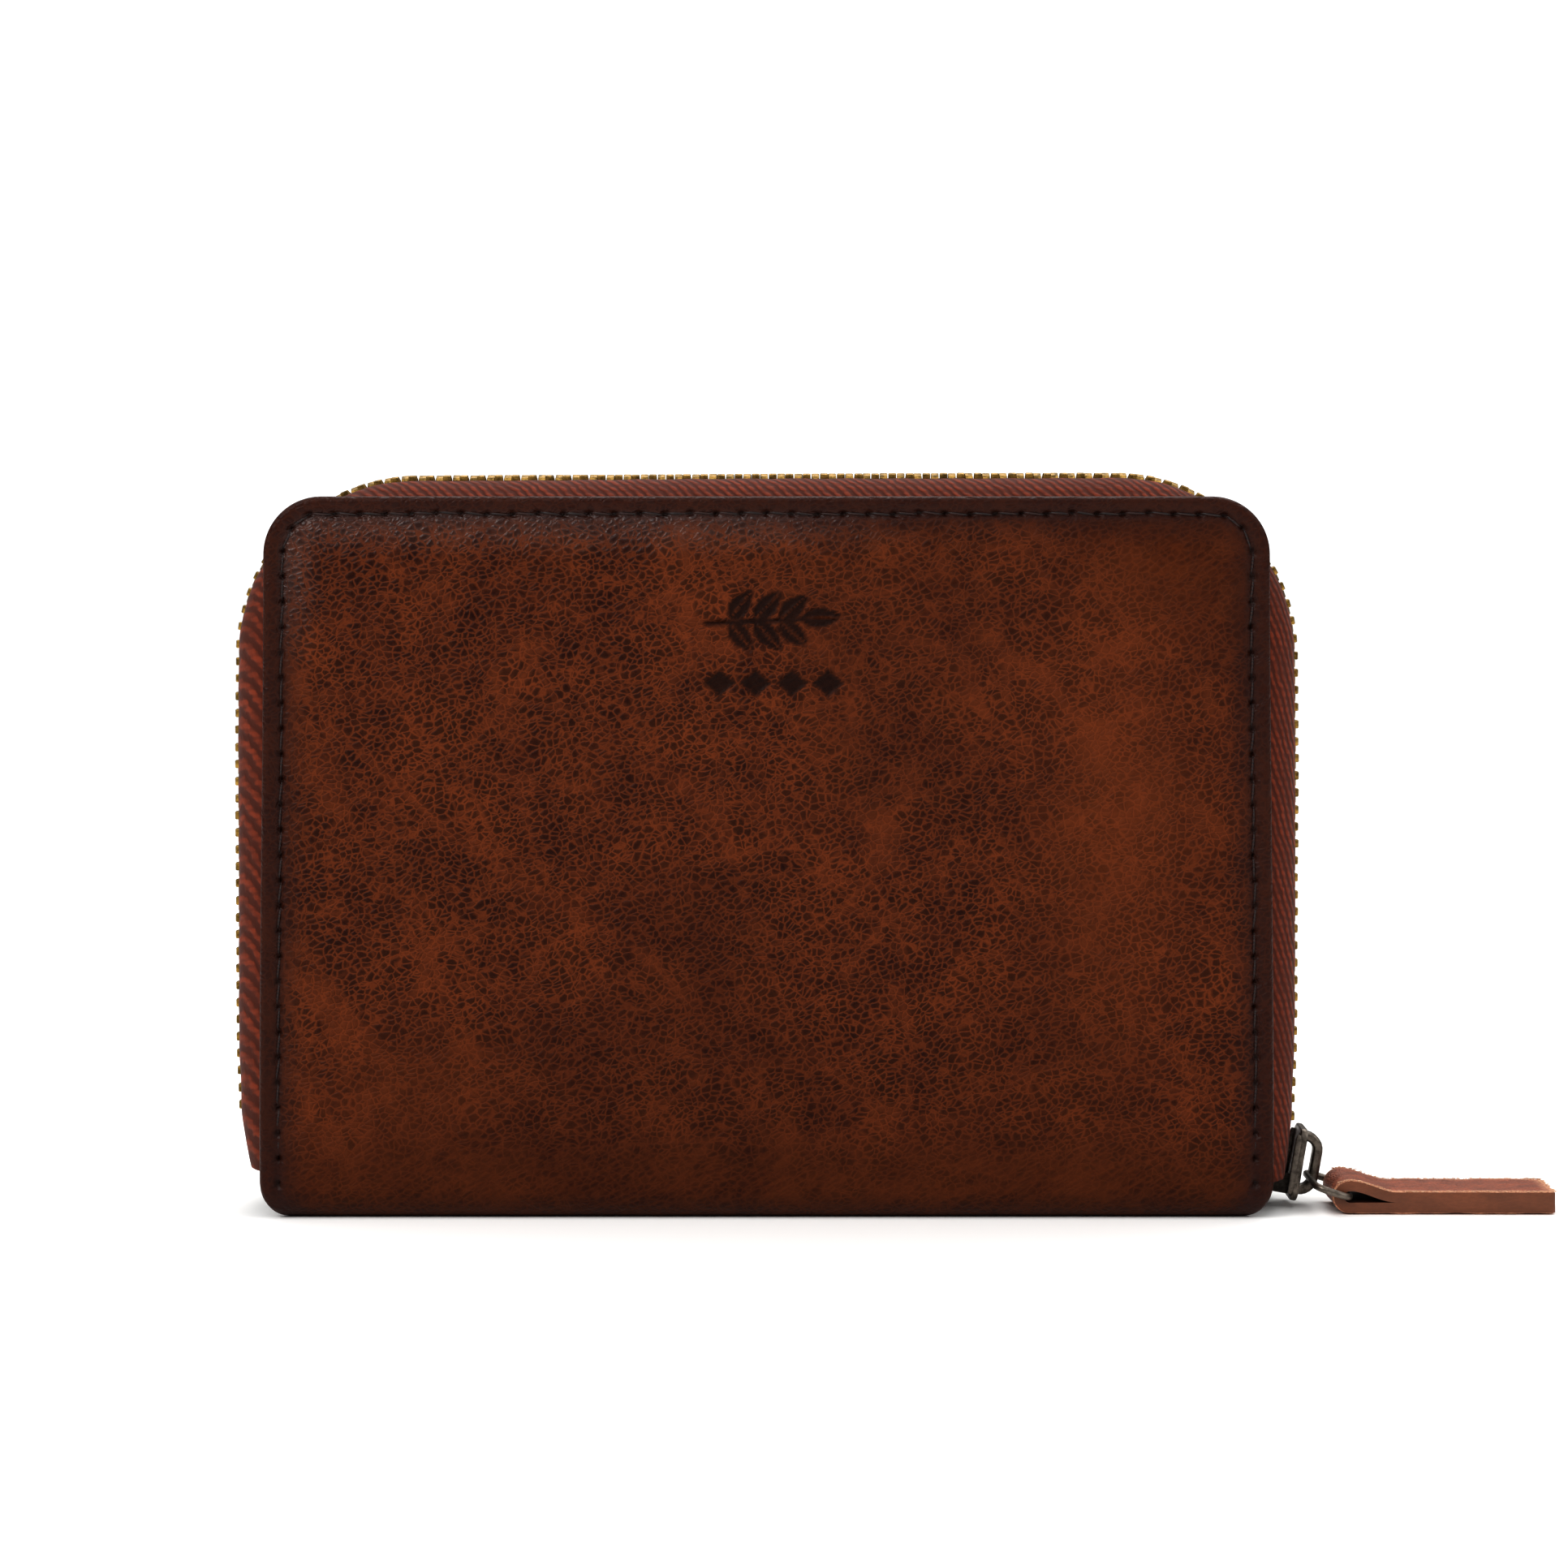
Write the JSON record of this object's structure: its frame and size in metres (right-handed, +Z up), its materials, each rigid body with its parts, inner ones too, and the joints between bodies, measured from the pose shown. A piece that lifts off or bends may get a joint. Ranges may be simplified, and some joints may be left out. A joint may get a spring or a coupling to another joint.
{
  "type": "zip-around pouch",
  "caption": "Leather zip-around pouch standing on its folded spine, with two hinged covers, a metal zip on three sides, a leather puller and a zipped middle coin pocket.",
  "frame": {"origin": "middle of the spine's flat underside, on the surface the pouch stands on", "axes": "+X to the end where the closed zip's slider sits, +Y to the back cover, +Z up"},
  "size_m": [0.1841, 0.0264, 0.1033],
  "materials": {
    "cover_leather": "burnished pebbled grain, satin",
    "puller_leather": "grain face with painted cut edge",
    "inner_leather": "smooth, matte",
    "lining_cloth": "plain weave",
    "stiffener_board": "bonded leather board, matte",
    "padding": "needled felt",
    "zip_tape": "twill weave",
    "zip_teeth": "antique, rubbed",
    "zip_pull_metal": "black nickel, satin",
    "thread": "waxed polyester thread"
  },
  "bodies": {
    "spine": {"spine_leather": "cover_leather", "spine_stiffener": "stiffener_board", "spine_lining": "lining_cloth", "coin_pocket_front_wall": "inner_leather", "coin_pocket_back_wall": "inner_leather", "coin_pocket_welt": "inner_leather", "coin_zip_tape_front": "zip_tape", "coin_zip_tape_back": "zip_tape", "coin_zip_teeth_front": "zip_teeth", "coin_zip_teeth_back": "zip_teeth", "gusset_front_left": "inner_leather", "gusset_front_right": "inner_leather", "gusset_back_left": "inner_leather", "gusset_back_right": "inner_leather"},
    "front_cover": {"front_cover_leather": "cover_leather", "front_stiffener_board": "stiffener_board", "front_padding": "padding", "front_lining": "lining_cloth", "front_card_slot_1": "inner_leather", "front_card_slot_2": "inner_leather", "front_card_slot_3": "inner_leather", "zip_tape_front": "zip_tape", "zip_teeth_front": "zip_teeth", "zip_top_stop_front": "zip_teeth", "front_cover_stitching": "thread", "front_card_stitching": "thread"},
    "back_cover": {"back_cover_leather": "cover_leather", "back_stiffener_board": "stiffener_board", "back_padding": "padding", "back_lining": "lining_cloth", "back_card_slot_1": "inner_leather", "back_card_slot_2": "inner_leather", "back_card_slot_3": "inner_leather", "zip_tape_back": "zip_tape", "zip_teeth_back": "zip_teeth", "zip_top_stop_back": "zip_teeth", "back_cover_stitching": "thread", "back_card_stitching": "thread", "zip_bottom_stop": "zip_teeth"},
    "slider": {"slider_body": "zip_pull_metal", "slider_crown": "zip_pull_metal"},
    "pull_link": {"pull_link": "zip_pull_metal"},
    "puller": {"leather_puller": "puller_leather"},
    "coin_slider": {"coin_slider_body": "zip_pull_metal", "coin_slider_crown": "zip_pull_metal"},
    "coin_tab": {"coin_pull_tab": "zip_pull_metal"}
  },
  "joints": [
    {"name": "front_cover_fold", "type": "hinge", "parent": "spine", "child": "front_cover", "pos_m": [0, -0.013, 0.004], "axis": [1, 0, 0], "range_deg": [0, 30], "deforming": ["gusset_front_left", "gusset_front_right"]},
    {"name": "back_cover_fold", "type": "hinge", "parent": "spine", "child": "back_cover", "pos_m": [0, 0.013, 0.004], "axis": [-1, 0, 0], "range_deg": [0, 30], "deforming": ["gusset_back_left", "gusset_back_right"]},
    {"name": "slider_travel", "type": "slide", "parent": "back_cover", "child": "slider", "axis": [0, 0, 1], "range_m": [0, 0.07], "deforming": ["zip_tape_front", "zip_tape_back", "zip_teeth_front", "zip_teeth_back"]},
    {"name": "pull_link_swing", "type": "hinge", "parent": "slider", "child": "pull_link", "pos_m": [0.07644, -0.0035, 0.00405], "axis": [0, -1, 0], "range_deg": [-70, 32]},
    {"name": "puller_swing", "type": "hinge", "parent": "pull_link", "child": "puller", "pos_m": [0.0812, -0.0035, 0.0025], "axis": [0, -1, 0], "range_deg": [-60, 60]},
    {"name": "coin_slider_travel", "type": "slide", "parent": "spine", "child": "coin_slider", "axis": [-1, 0, 0], "range_m": [0, 0.092], "deforming": ["coin_zip_tape_front", "coin_zip_tape_back", "coin_zip_teeth_front", "coin_zip_teeth_back"]},
    {"name": "coin_tab_swing", "type": "hinge", "parent": "coin_slider", "child": "coin_tab", "pos_m": [0.048, 0, 0.08335], "axis": [0, 1, 0], "range_deg": [0, 100]}
  ],
  "couplings": [
    {"joint": "back_cover_fold", "follows": "front_cover_fold", "ratio": 1}
  ]
}
